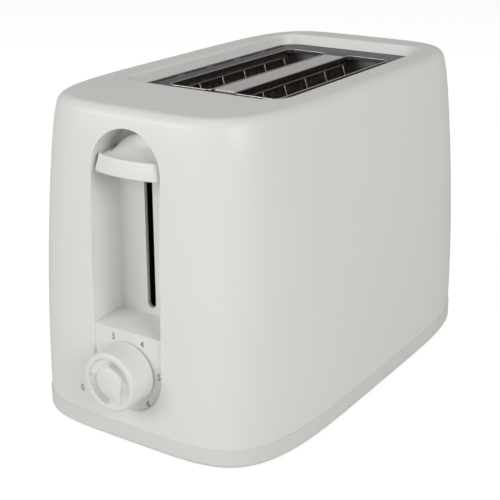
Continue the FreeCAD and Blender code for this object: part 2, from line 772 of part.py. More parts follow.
# ---- lever and dial --------------------------------------------------------------------------
def lever_knob():
    """The push lever: a bowed lip in front, a thumb scoop and an arched back."""
    tip_y = front_y(lever_bottom) + 3.5
    half = recess_half_width - lever_clearance
    front = tip_y - lever_bow
    back = recess_back() - lever_clearance
    crest = recess_arch_height - 1 + lever_dome_radius
    bow = Part.Arc(vec(-half, tip_y, 0), vec(0, front, 0), vec(half, tip_y, 0)).toShape()
    sides = [Part.makeLine(vec(half, tip_y, 0), vec(half, back, 0)),
             Part.makeLine(vec(half, back, 0), vec(-half, back, 0)),
             Part.makeLine(vec(-half, back, 0), vec(-half, tip_y, 0))]
    plan = Part.Face(Part.Wire([bow] + sides))
    plan.translate(vec(0, 0, lever_bottom))
    block = plan.extrude(vec(0, 0, crest - lever_bottom))
    shoulder = box(-half, half, front - 1, back + 1, lever_bottom, lever_lip_top)
    dome = rod(vec(0, front - 1, recess_arch_height - 1), vec(0, back + 1, recess_arch_height - 1),
               lever_dome_radius)
    room = arch(half, lever_bottom - recess_inner_radius, front - 1, back)
    room = room.makeFillet(recess_inner_radius, edges_at(room, lambda p: p.y > back - 0.01))
    knob = block.common(shoulder.fuse(dome)).common(room)
    scoop_radius = crest - lever_lip_top + 1.2
    scoop_y = front + 3.2
    scoop = rod(vec(-half - 5, scoop_y, crest + 0.2), vec(half + 5, scoop_y, crest + 0.2), scoop_radius)
    scoop = scoop.cut(box(-half - 9, half + 9, front - 30, front + 2.2, lever_bottom, lever_lip_top))
    knob = knob.cut(scoop)
    knob = knob.cut(box(-half - 9, half + 9, front - 5, scoop_y, lever_lip_top, crest + 30))
    socket = box(-arm_thickness / 2 - running_gap, arm_thickness / 2 + running_gap,
                 recess_back() - 6.6, back + 1, arm_bottom - running_gap, arm_bottom + arm_height + running_gap)
    return knob.cut(socket)


def dial_knob():
    """Revolved about its own axis, then laid along -Y."""
    base_gap = 0.7
    face = dial_depth
    outline_points = [
        (0, base_gap), (dial_base_radius, base_gap), (dial_base_radius, 1.8),
        (dial_face_radius, face - 0.8), (dial_face_radius - 0.8, face),
        (dial_face_radius - dial_rim_width, face),
        (dial_face_radius - dial_rim_width - 0.3, face - dial_groove_depth),
        (dial_centre_radius + 0.3, face - dial_groove_depth), (dial_centre_radius, face)]
    edges = []
    for p, q in zip(outline_points, outline_points[1:]):
        edges.append(Part.makeLine(vec(p[0], 0, p[1]), vec(q[0], 0, q[1])))
    ball = (dial_centre_radius ** 2 + dial_crown ** 2) / (2 * dial_crown)
    half_turn = math.asin(dial_centre_radius / ball) / 2
    middle = vec(ball * math.sin(half_turn), 0, face + dial_crown - ball * (1 - math.cos(half_turn)))
    edges.append(Part.Arc(vec(dial_centre_radius, 0, face), middle, vec(0, 0, face + dial_crown)).toShape())
    edges.append(Part.makeLine(vec(0, 0, face + dial_crown), vec(0, 0, base_gap)))
    knob = Part.Face(Part.Wire(edges)).revolve(vec(0, 0, 0), vec(0, 0, 1), 360)
    knob = knob.cut(Part.makeCylinder(dial_shaft_radius + running_gap, dial_depth - 3, vec(0, 0, 0)))
    hollow = Part.makeCylinder(dial_base_radius - 2.4, dial_depth - 5, vec(0, 0, 0))
    hollow = hollow.cut(Part.makeCylinder(dial_shaft_radius + 2.4, dial_depth, vec(0, 0, -1)))
    knob = knob.cut(hollow)
    knob.rotate(vec(0, 0, 0), vec(1, 0, 0), 90)
    knob.translate(vec(0, panel_y(), dial_height))
    return knob


def potentiometer_shaft():
    tip = panel_y() - dial_depth + 3.2
    front_of_body = board_y - board_thickness - pot_depth
    shaft = rod(vec(0, front_of_body - 0.3, dial_height), vec(0, tip, dial_height), dial_shaft_radius)
    return shaft


def potentiometer_body():
    front = board_y - board_thickness - pot_depth
    return box(-pot_half, pot_half, front, board_y - board_thickness, dial_height - pot_half,
               dial_height + pot_half)


# ---- electrical pieces -----------------------------------------------------------------------
def circuit_board():
    board = box(-board_half_width, board_half_width, board_y - board_thickness, board_y,
                board_bottom, board_top)
    holes = [rod(vec(x, board_y - 5, z), vec(x, board_y + 5, z), screw_radius + part_gap / 2)
             for x, z in board_posts()]
    return board.cut(holes)


def board_components():
    """Capacitors, a relay and small parts on the rear of the board."""
    parts = []
    capacitor = rod(vec(18, board_y, 30), vec(18, board_y + 12, 30), 5.0)
    parts.append(capacitor)
    parts.append(rod(vec(6, board_y, 28), vec(6, board_y + 8, 28), 3.0))
    parts.append(box(-8, 8, board_y, board_y + 3, 40, 47))
    for i in range(4):
        x = -2 + i * 5
        parts.append(rod(vec(x, board_y + 1.5, 52), vec(x, board_y + 1.5, 58), 1.4))
    return Part.makeCompound(parts)


def contact_block():
    """The power switch: a moulded block that holds two pairs of blades."""
    block = box(-26, -14, board_y, board_y + 7, 34, 44)
    return block


def contact_blades():
    blades = []
    for x in (-23.5, -18.5):
        for z in (36.0, 41.0):
            blades.append(box(x - 1.5, x + 1.5, board_y + 7, board_y + 17, z, z + 0.5))
            blades.append(box(x - 1, x + 1, board_y + 14, board_y + 16, z + 0.5, z + 1.5))
    return Part.makeCompound(blades)


def magnet_core():
    """An E shaped core with its poles facing up."""
    y0, y1 = magnet_y - magnet_depth / 2, magnet_y + magnet_depth / 2
    yoke = box(-magnet_half_width, magnet_half_width, y0, y1, magnet_bottom, magnet_bottom + 4)
    legs = [box(-magnet_half_width, -magnet_half_width + 4, y0, y1, magnet_bottom, magnet_top),
            box(-4, 4, y0, y1, magnet_bottom, magnet_top),
            box(magnet_half_width - 4, magnet_half_width, y0, y1, magnet_bottom, magnet_top)]
    return fuse([yoke] + legs)


def magnet_coil():
    """Bobbin and winding round the middle leg."""
    y0, y1 = magnet_y - magnet_depth / 2, magnet_y + magnet_depth / 2
    low, high = magnet_bottom + 4.2, magnet_top - 1.5
    winding = box(-6.6, 6.6, y0 - 2.6, y1 + 2.6, low + 1, high - 1)
    flange_low = box(-7.6, 7.6, y0 - 3.6, y1 + 3.6, low, low + 1)
    flange_high = box(-7.6, 7.6, y0 - 3.6, y1 + 3.6, high - 1, high)
    coil = fuse([winding, flange_low, flange_high])
    return coil.cut(box(-4.1, 4.1, y0 - 0.1, y1 + 0.1, low - 1, high + 1))


def magnet_bracket():
    reach = magnet_half_width + 10
    plate = box(-reach, reach, magnet_y - magnet_depth / 2 - 1, magnet_y + magnet_depth / 2 + 1,
                magnet_bottom - sheet, magnet_bottom)
    holes = [rod(vec(x, y, magnet_bottom - 5), vec(x, y, magnet_bottom + 5), screw_radius + part_gap / 2)
             for x, y in magnet_bosses()]
    return plate.cut(holes)


def terminal_block():
    """Moulded block on the front chassis end that the element tails and the leads meet in."""
    face = front_plate_y - sheet
    return box(terminal_x - terminal_half, terminal_x + terminal_half, face - 8, face, 22, 38)


def lead(points, radius, bend):
    """A wire of straight runs joined by tangent arcs."""
    edges = []
    here = points[0]
    for i in range(1, len(points) - 1):
        into = points[i].sub(points[i - 1]).normalize()
        out = points[i + 1].sub(points[i]).normalize()
        turn = math.acos(max(-1, min(1, into.dot(out))))
        back = bend * math.tan(turn / 2)
        start = points[i].sub(vec(*into).multiply(back))
        end = points[i].add(vec(*out).multiply(back))
        toward = vec(*out).sub(vec(*into)).normalize()
        reach = bend / math.cos(turn / 2) - bend
        middle = points[i].add(toward.multiply(reach))
        edges.append(Part.makeLine(here, start))
        edges.append(Part.Arc(start, middle, end).toShape())
        here = end
    edges.append(Part.makeLine(here, points[-1]))
    path = Part.Wire(edges)
    direction = points[1].sub(points[0])
    ring = Part.Wire(Part.Circle(points[0], direction, radius).toShape())
    return path.makePipeShell([ring], True, False)


def internal_leads():
    """Two leads from the board to the terminal block."""
    face = front_plate_y - sheet - 8
    leads = []
    for rise in (0.0, 6.0):
        board_z = 38 + rise
        block_z = 27 + rise
        points = [vec(27, board_y, board_z), vec(27, board_y + 16, board_z),
                  vec(terminal_x, face - 14, block_z), vec(terminal_x, face, block_z)]
        leads.append(lead(points, 1.1, 6.0))
    return Part.makeCompound(leads)


# ---- crumb tray ------------------------------------------------------------------------------
def crumb_tray():
    """A shallow sheet pan that slides out of the rear."""
    y0 = front_plate_y + 2
    y1 = body_length / 2 - 11
    outer = box(-tray_half_width, tray_half_width, y0, y1, tray_bottom, tray_top)
    inner = box(-tray_half_width + tray_wall, tray_half_width - tray_wall, y0 + tray_wall, y1 - tray_wall,
                tray_bottom + tray_wall, tray_top + 1)
    return outer.cut(inner)


def crumb_tray_handle():
    """The moulded front of the tray: it closes the opening in the skirt and has a finger groove."""
    y0 = body_length / 2 - 11
    reach = tray_half_width + 2.0 - part_gap
    block = box(-reach, reach, y0, body_length / 2 + 5, floor_top + part_gap, seam - part_gap)
    block = block.common(skirt_solid())
    hollow = box(-reach + 2, reach - 2, y0 - 1, body_length / 2 - 3.5, tray_bottom + 1.6, seam + 5)
    tie = box(-tray_half_width + 4, tray_half_width - 4, y0, y0 + 2, tray_bottom, tray_top)
    groove = rod(vec(-20, body_length / 2 + 1.5, tray_bottom - 0.5),
                 vec(20, body_length / 2 + 1.5, tray_bottom - 0.5), 3.2)
    return block.cut(hollow).fuse(tie).cut(groove)


# ---- write every piece -----------------------------------------------------------------------
def main():
    os.makedirs("parts", exist_ok=True)
    print("shift of the whole:", round(shift_of_whole(), 4))
    pieces = {
        "outer_shell": outer_shell(),
        "base": base(),
        "rubber_feet": rubber_feet(),
        "base_screws": base_screws(),
        "top_plate": top_plate(),
        "slot_divider": slot_divider(),
        "front_end_plate": end_plate(front_plate_y, -1),
        "rear_end_plate": end_plate(rear_plate_y, 1),
        "heat_shield_left": heat_shield(-1),
        "heat_shield_right": heat_shield(1),
        "chassis_screws": chassis_screws(),
        "carriage_bracket": carriage_bracket(),
        "bread_rack_left": bread_rack(-1),
        "bread_rack_right": bread_rack(1),
        "latch_keeper": latch_keeper(),
        "lever_knob": lever_knob(),
        "guide_rod": guide_rod(),
        "mechanism_stay": mechanism_stay(),
        "lift_spring": lift_spring(),
        "dial_knob": dial_knob(),
        "potentiometer_shaft": potentiometer_shaft(),
        "potentiometer_body": potentiometer_body(),
        "circuit_board": circuit_board(),
        "board_components": board_components(),
        "board_screws": board_screws(),
        "contact_block": contact_block(),
        "contact_blades": contact_blades(),
        "magnet_core": magnet_core(),
        "magnet_coil": magnet_coil(),
        "magnet_bracket": magnet_bracket(),
        "magnet_screws": magnet_screws(),
        "terminal_block": terminal_block(),
        "internal_leads": internal_leads(),
        "crumb_tray": crumb_tray(),
        "crumb_tray_handle": crumb_tray_handle(),
    }
    cards = {"left": -outer_card_x - card_thickness, "centre": -card_thickness / 2, "right": outer_card_x}
    for name, x_low in cards.items():
        pieces["mica_card_" + name] = mica_card(x_low)
        pieces["heating_element_" + name] = heating_element(x_low)
    names = ("left_outer", "left_inner", "right_inner", "right_outer")
    for name, (x, lean) in zip(names, guide_axes()):
        pieces["bread_guide_" + name] = bread_guide(x, lean)
    for name, shape in pieces.items():
        write(name, shape)


main()
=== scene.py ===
import bpy
import bmesh
import json
import math
from mathutils import Matrix, Vector


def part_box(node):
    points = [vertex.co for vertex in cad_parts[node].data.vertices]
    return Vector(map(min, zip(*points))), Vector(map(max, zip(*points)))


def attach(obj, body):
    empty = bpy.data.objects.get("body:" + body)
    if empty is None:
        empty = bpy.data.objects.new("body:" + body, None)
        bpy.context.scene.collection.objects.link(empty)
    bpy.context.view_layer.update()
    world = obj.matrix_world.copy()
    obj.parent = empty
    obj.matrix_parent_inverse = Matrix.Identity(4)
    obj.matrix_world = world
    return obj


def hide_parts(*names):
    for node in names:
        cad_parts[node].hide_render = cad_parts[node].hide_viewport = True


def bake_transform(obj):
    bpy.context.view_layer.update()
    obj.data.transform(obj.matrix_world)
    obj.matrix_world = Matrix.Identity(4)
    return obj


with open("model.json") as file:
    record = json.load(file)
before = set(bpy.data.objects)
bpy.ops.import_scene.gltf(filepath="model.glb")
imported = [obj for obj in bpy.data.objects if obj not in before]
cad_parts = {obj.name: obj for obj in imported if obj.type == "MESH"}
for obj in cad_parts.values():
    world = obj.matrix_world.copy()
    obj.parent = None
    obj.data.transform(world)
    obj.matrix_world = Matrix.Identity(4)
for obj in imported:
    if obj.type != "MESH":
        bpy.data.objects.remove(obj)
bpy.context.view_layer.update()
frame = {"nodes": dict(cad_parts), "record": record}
MM = 0.001


# ---- camera, lights and floor ----------------------------------------------------------------
def make_camera():
    """The camera stands a little above the toaster, off its front right corner."""
    body_low, body_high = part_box("outer_shell")
    middle_y = (body_low.y + body_high.y) / 2
    aim_left = 0.0090
    aim_front = 0.0063
    aim_height = 0.0712
    target = Vector((-aim_left, middle_y - aim_front, aim_height))
    azimuth = math.radians(33.23)
    elevation = math.radians(20.45)
    distance = 0.6990
    back = Vector((math.sin(azimuth) * math.cos(elevation),
                   -math.cos(azimuth) * math.cos(elevation), math.sin(elevation)))
    data = bpy.data.cameras.new("camera")
    data.lens = 80.14
    data.sensor_width = 36.0
    data.clip_start = 0.01
    data.clip_end = 50.0
    camera = bpy.data.objects.new("camera", data)
    bpy.context.scene.collection.objects.link(camera)
    camera.location = target + back * distance
    camera.rotation_mode = "QUATERNION"
    camera.rotation_quaternion = (-back).to_track_quat("-Z", "Y")
    bpy.context.scene.camera = camera


def area_light(name, place, aim, size, power, colour=(1.0, 1.0, 1.0)):
    data = bpy.data.lights.new(name, "AREA")
    data.shape = "RECTANGLE"
    data.size, data.size_y = size
    data.energy = power
    data.color = colour
    light = bpy.data.objects.new(name, data)
    bpy.context.scene.collection.objects.link(light)
    light.location = place
    light.rotation_mode = "QUATERNION"
    light.rotation_quaternion = (Vector(aim) - Vector(place)).to_track_quat("-Z", "Y")


def seen_or_lit(owner, node, seen, lit):
    """A strength of seen to the camera itself, and of lit to what it lights."""
    path = owner.node_tree.nodes.new("ShaderNodeLightPath")
    spread = owner.node_tree.nodes.new("ShaderNodeMapRange")
    spread.inputs["To Min"].default_value = lit
    spread.inputs["To Max"].default_value = seen
    owner.node_tree.links.new(path.outputs["Is Camera Ray"], spread.inputs["Value"])
    socket = "Emission Strength" if "Emission Strength" in node.inputs else "Strength"
    owner.node_tree.links.new(spread.outputs["Result"], node.inputs[socket])


def make_lights():
    middle = (0, 0, 0.09)
    area_light("key", (-0.9, -1.8, 0.85), middle, (1.5, 1.0), 19, (1.0, 0.995, 0.985))
    area_light("side", (2.0, -0.8, 1.0), middle, (1.1, 1.0), 22, (1.0, 0.99, 0.97))
    area_light("top", (0.0, 0.2, 1.9), (0, 0, 0.1), (1.8, 1.8), 2.5)
    world = bpy.data.worlds.new("studio")
    world.use_nodes = True
    background = world.node_tree.nodes["Background"]
    background.inputs["Color"].default_value = (1.0, 1.0, 1.0, 1.0)
    seen_or_lit(world, background, 1.0, 0.34)
    scene = bpy.context.scene
    scene.world = world
    scene.view_settings.view_transform = "Standard"


def make_floor():
    mesh = bpy.data.meshes.new("floor")
    reach = 6.0
    corners = [(-reach, -reach, 0), (reach, -reach, 0), (reach, reach, 0), (-reach, reach, 0)]
    mesh.from_pydata(corners, [], [(0, 1, 2, 3)])
    floor = bpy.data.objects.new("floor", mesh)
    bpy.context.scene.collection.objects.link(floor)
    material = new_material("floor_paper", (0.55, 0.55, 0.55), 0.9)
    shader = material.node_tree.nodes["Principled BSDF"]
    shader.inputs["Specular IOR Level"].default_value = 0.1
    shader.inputs["Emission Color"].default_value = (1.0, 1.0, 1.0, 1.0)
    seen_or_lit(material, shader, 0.72, 0.12)
    mesh.materials.append(material)


# ---- materials -------------------------------------------------------------------------------
def new_material(name, colour, roughness, metallic=0.0):
    material = bpy.data.materials.new(name)
    material.use_nodes = True
    shader = material.node_tree.nodes["Principled BSDF"]
    shader.inputs["Base Color"].default_value = (*colour, 1.0)
    shader.inputs["Roughness"].default_value = roughness
    shader.inputs["Metallic"].default_value = metallic
    return material


def add(material, kind):
    return material.node_tree.nodes.new(kind)


def link(material, source, output, target, socket):
    material.node_tree.links.new(source.outputs[output], target.inputs[socket])


def place_node(material, scale):
    """Object coordinates, stretched by scale."""
    coordinates = add(material, "ShaderNodeTexCoord")
    mapping = add(material, "ShaderNodeMapping")
    mapping.inputs["Scale"].default_value = scale
    link(material, coordinates, "Object", mapping, "Vector")
    return mapping


def mixed_colour(material, factor, output, low, high):
    """A colour that runs from low to high with a texture's value."""
    ramp = add(material, "ShaderNodeValToRGB")
    ramp.color_ramp.elements[0].position = 0.3
    ramp.color_ramp.elements[1].position = 0.7
    ramp.color_ramp.elements[0].color = (*low, 1.0)
    ramp.color_ramp.elements[1].color = (*high, 1.0)
    link(material, factor, output, ramp, "Fac")
    shader = material.node_tree.nodes["Principled BSDF"]
    link(material, ramp, "Color", shader, "Base Color")


def ranged(material, factor, output, low, high, socket):
    """A shader value that runs from low to high with a texture's value."""
    spread = add(material, "ShaderNodeMapRange")
    spread.inputs["To Min"].default_value = low
    spread.inputs["To Max"].default_value = high
    link(material, factor, output, spread, "Value")
    shader = material.node_tree.nodes["Principled BSDF"]
    link(material, spread, "Result", shader, socket)


def bump(material, factor, output, distance, strength=1.0):
    node = add(material, "ShaderNodeBump")
    node.inputs["Distance"].default_value = distance
    node.inputs["Strength"].default_value = strength
    link(material, factor, output, node, "Height")
    shader = material.node_tree.nodes["Principled BSDF"]
    link(material, node, "Normal", shader, "Normal")


def shade(colour, amount):
    return tuple(max(0.0, min(1.0, c * amount)) for c in colour)


def moulded_plastic(name, colour, roughness=0.38):
    """Satin moulding: a very fine skin texture, and faint clouds in its colour and gloss."""
    material = new_material(name, colour, roughness)
    shader = material.node_tree.nodes["Principled BSDF"]
    shader.inputs["Subsurface Weight"].default_value = 0.05
    shader.inputs["Subsurface Radius"].default_value = (0.003, 0.0025, 0.002)
    shader.inputs["IOR"].default_value = 1.49
    clouds = add(material, "ShaderNodeTexNoise")
    clouds.inputs["Scale"].default_value = 9.0
    clouds.inputs["Detail"].default_value = 3.0
    link(material, place_node(material, (1, 1, 1)), "Vector", clouds, "Vector")
    mixed_colour(material, clouds, "Fac", shade(colour, 0.985), shade(colour, 1.01))
    ranged(material, clouds, "Fac", roughness - 0.04, roughness + 0.05, "Roughness")
    skin = add(material, "ShaderNodeTexNoise")
    skin.inputs["Scale"].default_value = 2600.0
    skin.inputs["Detail"].default_value = 2.0
    link(material, place_node(material, (1, 1, 1)), "Vector", skin, "Vector")
    bump(material, skin, "Fac", 0.00002, 0.35)
    return material


def rolled_metal(name, colour, roughness, along, contrast=0.12, depth=0.00002):
    """Sheet metal with fine drawn lines that run along one axis, and a little tarnish."""
    material = new_material(name, colour, roughness, 1.0)
    scale = [1400.0, 1400.0, 1400.0]
    scale["xyz".index(along)] = 12.0
    lines = add(material, "ShaderNodeTexNoise")
    lines.inputs["Scale"].default_value = 1.0
    lines.inputs["Detail"].default_value = 4.0
    lines.inputs["Roughness"].default_value = 0.65
    link(material, place_node(material, scale), "Vector", lines, "Vector")
    mixed_colour(material, lines, "Fac", shade(colour, 1 - contrast), shade(colour, 1 + contrast))
    ranged(material, lines, "Fac", roughness * 0.75, roughness * 1.3, "Roughness")
    bump(material, lines, "Fac", depth, 0.6)
    return material


def mica_board(name):
    """Dark brown pressed mica: overlapping flakes with a dull sheen."""
    material = new_material(name, (0.055, 0.035, 0.026), 0.6)
    flakes = add(material, "ShaderNodeTexVoronoi")
    flakes.inputs["Scale"].default_value = 260.0
    link(material, place_node(material, (1, 1, 1)), "Vector", flakes, "Vector")
    mixed_colour(material, flakes, "Distance", (0.085, 0.055, 0.040), (0.035, 0.022, 0.016))
    ranged(material, flakes, "Distance", 0.35, 0.7, "Roughness")
    bump(material, flakes, "Distance", 0.0001, 0.5)
    return material


def grained(name, colour, roughness, scale, contrast, metallic=0.0, depth=0.00005):
    """A plain material with a cloudy grain, for rubber, board, ceramic and the like."""
    material = new_material(name, colour, roughness, metallic)
    grain = add(material, "ShaderNodeTexNoise")
    grain.inputs["Scale"].default_value = scale
    grain.inputs["Detail"].default_value = 5.0
    link(material, place_node(material, (1, 1, 1)), "Vector", grain, "Vector")
    mixed_colour(material, grain, "Fac", shade(colour, 1 - contrast), shade(colour, 1 + contrast))
    ranged(material, grain, "Fac", max(0.05, roughness - 0.1), min(1.0, roughness + 0.1), "Roughness")
    bump(material, grain, "Fac", depth, 0.5)
    return material


def make_materials():
    body = (0.78, 0.775, 0.75)
    return {
        "shell_plastic": moulded_plastic("shell_plastic", body),
        # the base is the body's own plastic darkened to 0.92: painted shade, standing in for weaker
        # light on the skirt
        "base_plastic": moulded_plastic("base_plastic", shade(body, 0.92)),
        "lever_plastic": moulded_plastic("lever_plastic", shade(body, 1.02), 0.34),
        "dial_plastic": moulded_plastic("dial_plastic", body, 0.34),
        "tray_handle_plastic": moulded_plastic("tray_handle_plastic", shade(body, 0.97)),
        "foot_rubber": grained("foot_rubber", (0.42, 0.42, 0.41), 0.8, 600, 0.1),
        # the top plate's near-black colour is a painted dark reflection: the same steel as the
        # divider, darkened for the dark surroundings it mirrors
        "top_plate_steel": rolled_metal("top_plate_steel", (0.125, 0.118, 0.135), 0.40, "y"),
        # lip_steel colours the lip bands: a painted highlight on the crest of the lips, which are the
        # plate's own steel
        "lip_steel": rolled_metal("lip_steel", (0.62, 0.61, 0.60), 0.3, "y", 0.06),
        # the divider's light colour is a painted bright reflection: the top plate's steel, lightened
        # for the bright surroundings it mirrors
        "divider_steel": rolled_metal("divider_steel", (0.80, 0.765, 0.75), 0.5, "y", 0.05),
        "chassis_steel": rolled_metal("chassis_steel", (0.42, 0.41, 0.40), 0.42, "z"),
        "carriage_steel": rolled_metal("carriage_steel", (0.45, 0.44, 0.43), 0.4, "y"),
        "guide_steel": rolled_metal("guide_steel", (0.27, 0.255, 0.23), 0.4, "z", 0.15),
        "rod_steel": rolled_metal("rod_steel", (0.65, 0.65, 0.65), 0.2, "z", 0.05),
        "spring_steel": rolled_metal("spring_steel", (0.45, 0.45, 0.46), 0.3, "x", 0.08),
        "screw_steel": rolled_metal("screw_steel", (0.55, 0.55, 0.53), 0.35, "x", 0.08),
        "mica": mica_board("mica"),
        "ribbon": rolled_metal("ribbon", (0.16, 0.14, 0.12), 0.45, "y", 0.2),
        "board": grained("board", (0.10, 0.19, 0.05), 0.5, 300, 0.15),
        "components": grained("components", (0.02, 0.02, 0.025), 0.35, 400, 0.2),
        "contact_brass": rolled_metal("contact_brass", (0.66, 0.47, 0.20), 0.3, "y", 0.08),
        "contact_plastic": grained("contact_plastic", (0.03, 0.03, 0.03), 0.5, 500, 0.2),
        "magnet_iron": grained("magnet_iron", (0.20, 0.20, 0.21), 0.5, 500, 0.25, 1.0),
        "coil_copper": rolled_metal("coil_copper", (0.48, 0.20, 0.08), 0.35, "x", 0.2),
        "terminal_ceramic": grained("terminal_ceramic", (0.68, 0.66, 0.58), 0.6, 350, 0.06),
        "lead_sleeve": grained("lead_sleeve", (0.62, 0.60, 0.54), 0.8, 900, 0.12),
        "tray_steel": rolled_metal("tray_steel", (0.55, 0.55, 0.54), 0.34, "y", 0.06),
    }


def dress_cad_nodes(materials):
    """Every CAD node takes the material of its slot in the record."""
    for entry in frame["record"]["subparts"]:
        node = frame["nodes"][entry["node"]]
        node.data.materials.clear()
        node.data.materials.append(materials[entry["material_slot"]])


# ---- pieces ----------------------------------------------------------------------------------
def mesh_piece(name, points, faces, material, body, smooth_degrees=40):
    """A mesh object from points in metres, smooth but for its sharp folds."""
    mesh = bpy.data.meshes.new(name)
    mesh.from_pydata(points, [], faces)
    mesh.validate()
    work = bmesh.new()
    work.from_mesh(mesh)
    bmesh.ops.recalc_face_normals(work, faces=work.faces)
    work.to_mesh(mesh)
    work.free()
    mesh.shade_smooth()
    mesh.set_sharp_from_angle(angle=math.radians(smooth_degrees))
    mesh.materials.append(material)
    piece = bpy.data.objects.new(name, mesh)
    bpy.context.scene.collection.objects.link(piece)
    if body:
        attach(piece, body)
    return piece


def tube_faces(strips, count):
    """The faces of strips between rings of count points each."""
    faces = []
    for i in range(strips):
        for k in range(count):
            a = i * count + k
            b = i * count + (k + 1) % count
            faces.append((a, b, b + count, a + count))
    return faces


def smooth_step(low, high, value):
    share = max(0.0, min(1.0, (value - low) / (high - low)))
    return share * share * (3 - 2 * share)


def soft_min(a, b, width):
    """The lower of two heights, with the crease between them rounded over width."""
    share = max(0.0, min(1.0, 0.5 + 0.5 * (b - a) / width))
    return b * (1 - share) + a * share - width * share * (1 - share)


def rounding(distance, radius):
    """How far an edge of this radius has dropped at a distance inside the edge."""
    if distance >= radius:
        return 0.0
    return radius - math.sqrt(max(0.0, radius * radius - (radius - distance) ** 2))


# the lever: a bowed lip in front that leans back, a thumb scoop, and an arched back
LIP_HEIGHT = 9.0 * MM
LIP_LEAN = 2.4 * MM
LIP_TAPER = 0.97
LEVER_BOW = 3.6 * MM
LEVER_TURN = 4.2 * MM
LEVER_DOME = 18.0 * MM
LIP_LAND = 1.0 * MM
LIP_WIDTH = 2.6 * MM
LEVER_CREASE = 1.2 * MM
SCOOP_BELOW = 1.6 * MM
SCOOP_ABOVE = 0.6 * MM
LEVER_EDGE = 0.9 * MM
LEVER_CORNER = 3.2 * MM
LEVER_COLUMNS = 72
LEVER_ROWS = 56


def lever_top(x, y, front, bottom, crest):
    """Height of the lever's upper surface: lip, scoop and dome."""
    lip_top = bottom + LIP_HEIGHT
    centre = crest - LEVER_DOME
    dome = lip_top
    if abs(x) < LEVER_DOME:
        dome = max(lip_top, centre + math.sqrt(LEVER_DOME ** 2 - x * x))
    reach = crest - lip_top + SCOOP_BELOW
    into = y - (front + LIP_WIDTH)
    scoop = crest + SCOOP_ABOVE
    if into < reach:
        scoop -= math.sqrt(reach ** 2 - max(0.0, into) ** 2)
    surface = soft_min(scoop, dome, LEVER_CREASE)
    blend = smooth_step(LIP_LAND, LIP_WIDTH, y - front)
    return lip_top * (1 - blend) + surface * blend


def make_lever(material):
    low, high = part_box("lever_knob")
    half = (high.x - low.x) / 2
    columns = []
    for i in range(LEVER_COLUMNS + 1):
        x = half * math.sin(math.pi / 2 * (2 * i / LEVER_COLUMNS - 1))
        front = low.y + LEVER_BOW * (x / half) ** 2 + rounding(half - abs(x), LEVER_TURN)
        corner = max(0.0, abs(x) - (half - LEVER_CORNER))
        back = high.y - LEVER_CORNER + math.sqrt(max(0.0, LEVER_CORNER ** 2 - corner ** 2))
        column = []
        for j in range(LEVER_ROWS + 1):
            y = front + (back - front) * (1 - math.cos(math.pi * j / LEVER_ROWS)) / 2
            inside = min(y - front, half - abs(x), back - y)
            edge = rounding(inside, LEVER_EDGE)
            upper_x = x * LIP_TAPER
            upper_y = y + LIP_LEAN * (back - y) / (back - front)
            top = lever_top(upper_x, upper_y, front + LIP_LEAN, low.z, high.z)
            column.append(((upper_x, upper_y, min(top, high.z) - edge), (x, y, low.z + edge)))
        columns.append(column)
    points = [p[side] for side in (0, 1) for column in columns for p in column]
    width = LEVER_ROWS + 1
    lower = (LEVER_COLUMNS + 1) * width
    faces = []
    for i in range(LEVER_COLUMNS):
        for j in range(LEVER_ROWS):
            a = i * width + j
            faces.append((a, a + width, a + width + 1, a + 1))
            faces.append((lower + a, lower + a + 1, lower + a + width + 1, lower + a + width))
    last = LEVER_COLUMNS * width
    rim = list(range(width))
    rim += [i * width + LEVER_ROWS for i in range(1, LEVER_COLUMNS + 1)]
    rim += [last + j for j in range(LEVER_ROWS - 1, -1, -1)]
    rim += [i * width for i in range(LEVER_COLUMNS - 1, 0, -1)]
    for a, b in zip(rim, rim[1:] + rim[:1]):
        faces.append((a, b, lower + b, lower + a))
    lever = mesh_piece("lever_cap", points, faces, material, "carriage", 50)
    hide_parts("lever_knob")


# the dial: a tapered drum, a raised rim, a ribbed groove and a domed pointer
DIAL_BASE_RADIUS = 17.1 * MM
DIAL_FACE_RADIUS = 16.9 * MM
DIAL_FOOT = 1.1 * MM
DIAL_GAP = 0.7 * MM
DIAL_CROWN = 1.0 * MM
DIAL_EDGE = 1.6 * MM
RIM_WIDTH = 3.2 * MM
GROOVE_DEPTH = 1.1 * MM
POINTER_RADIUS = 8.2 * MM
POINTER_REACH = 12.4 * MM
POINTER_BLUNT = 0.5 * MM
POINTER_TURN = math.radians(147)      # clockwise from the top, as seen from the front
RIB_HEIGHT = 0.95 * MM
RIB_COUNT = 60
RIB_SHARPNESS = 0.7
RIB_INSET = 0.7 * MM
RIB_END = 0.2 * MM
WALL_START = 0.1 * MM
WALL_RUN = 0.5 * MM
TAPER_STEPS = 6
EDGE_STEPS = 5
RIB_SPREAD = math.radians(52)
DIAL_SPOKES = 720
DIAL_RINGS = 54


def pointer_outline(turn):
    """Radius of the raised middle: a circle that is drawn out to a tip at the pointer."""
    off = abs((turn - POINTER_TURN + math.pi) % (2 * math.pi) - math.pi)
    flank = math.acos(POINTER_RADIUS / POINTER_REACH)
    if off > flank:
        return POINTER_RADIUS
    return min(POINTER_REACH - POINTER_BLUNT, POINTER_RADIUS / math.cos(flank - off))


def dial_relief(radius, turn):
    """Height of the dial's face over the groove's floor."""
    edge = pointer_outline(turn)
    rim_inner = DIAL_FACE_RADIUS - RIM_WIDTH
    height = GROOVE_DEPTH * smooth_step(rim_inner - WALL_RUN, rim_inner, radius)
    slope = 1 - smooth_step(edge - WALL_START, edge + WALL_RUN, radius)
    fall = min(1.0, radius / edge) ** 2
    height = max(height, slope * (GROOVE_DEPTH + DIAL_CROWN * (1 - fall)))
    off = abs((turn - POINTER_TURN) % math.pi - math.pi / 2)
    if off < RIB_SPREAD:
        wave = max(0.0, math.cos(RIB_COUNT * turn)) ** RIB_SHARPNESS
        length = smooth_step(edge + RIB_INSET, edge + 2 * RIB_INSET, radius)
        length *= 1 - smooth_step(rim_inner - 3 * RIB_END, rim_inner - RIB_END, radius)
        height = max(height, RIB_HEIGHT * wave * length)
    return height


